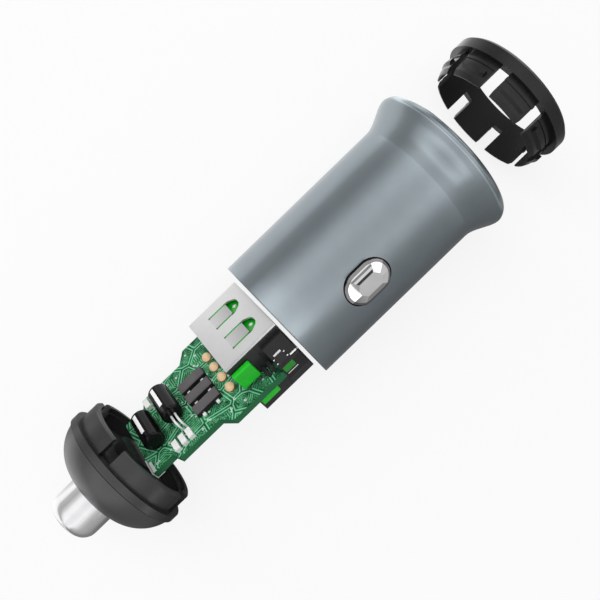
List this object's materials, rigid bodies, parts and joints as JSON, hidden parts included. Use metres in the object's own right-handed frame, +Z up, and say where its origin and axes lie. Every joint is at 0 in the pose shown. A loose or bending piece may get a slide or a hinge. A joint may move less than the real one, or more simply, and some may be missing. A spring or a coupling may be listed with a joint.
{
  "type": "car usb charger plug",
  "caption": "Car USB charger plug shown taken apart along its axis: nose cap with sprung pin, circuit board with sockets, flared metal barrel and snap ring.",
  "frame": {"origin": "on the charger's axis, at the rear edge of the barrel", "axes": "+X along the axis towards the mouth and the snap ring, -X towards the centre pin, +Z up, with the upper side contact 28.5 degrees from +Z towards -Y"},
  "size_m": [0.0922, 0.0246, 0.0246],
  "materials": {
    "anodised_barrel": "satin",
    "black_plastic": "satin",
    "nose_plastic": "satin",
    "chrome": "polished",
    "spring_steel": "satin",
    "board_green": "satin",
    "port_steel": "satin",
    "port_green": "gloss",
    "blade_gold": "polished",
    "can_sleeve": "gloss",
    "tinned_wire": "bright",
    "chip_grey": "matte",
    "solder_gold": "satin",
    "resistor_white": "satin",
    "fuse_green": "satin",
    "coil_ferrite": "matte",
    "coil_copper": "satin"
  },
  "bodies": {
    "charger": {"barrel": "anodised_barrel", "front_ring": "black_plastic", "ground_spring": "spring_steel", "nose_cap": "nose_plastic", "pin_spring": "spring_steel", "spring_guide": "black_plastic", "circuit_board": "board_green", "usb_shell_upper": "port_steel", "usb_shell_lower": "port_steel", "usb_tongue_upper": "port_green", "usb_tongue_lower": "port_green", "usb_blades_upper": "blade_gold", "usb_blades_lower": "blade_gold", "port_frame": "black_plastic", "capacitor_rear": "can_sleeve", "capacitor_front": "can_sleeve", "capacitor_leads": "tinned_wire", "driver_chip_1": "chip_grey", "driver_chip_2": "chip_grey", "driver_chip_3": "chip_grey", "solder_joints": "solder_gold", "chip_resistors": "resistor_white", "fuse_upright": "fuse_green", "fuse_flat": "fuse_green", "sense_chip": "chip_grey", "tail_strip": "tinned_wire", "coil_core": "coil_ferrite", "coil_winding": "coil_copper"},
    "sprung_pin": {"centre_pin": "chrome"},
    "sprung_contact_upper": {"side_contact_upper": "chrome"},
    "sprung_contact_lower": {"side_contact_lower": "chrome"}
  },
  "joints": [
    {"name": "centre_pin_press", "type": "slide", "parent": "charger", "child": "sprung_pin", "axis": [1, 0, 0], "range_m": [0, 0.0025], "stiffness_N_per_m": 150, "springref_m": -0.004},
    {"name": "side_contact_upper_press", "type": "slide", "parent": "charger", "child": "sprung_contact_upper", "axis": [0, 0.4772, -0.8788], "range_m": [0, 0.001], "stiffness_N_per_m": 40, "springref_m": -0.003},
    {"name": "side_contact_lower_press", "type": "slide", "parent": "charger", "child": "sprung_contact_lower", "axis": [0, -0.4772, 0.8788], "range_m": [0, 0.001], "stiffness_N_per_m": 40, "springref_m": -0.003}
  ]
}
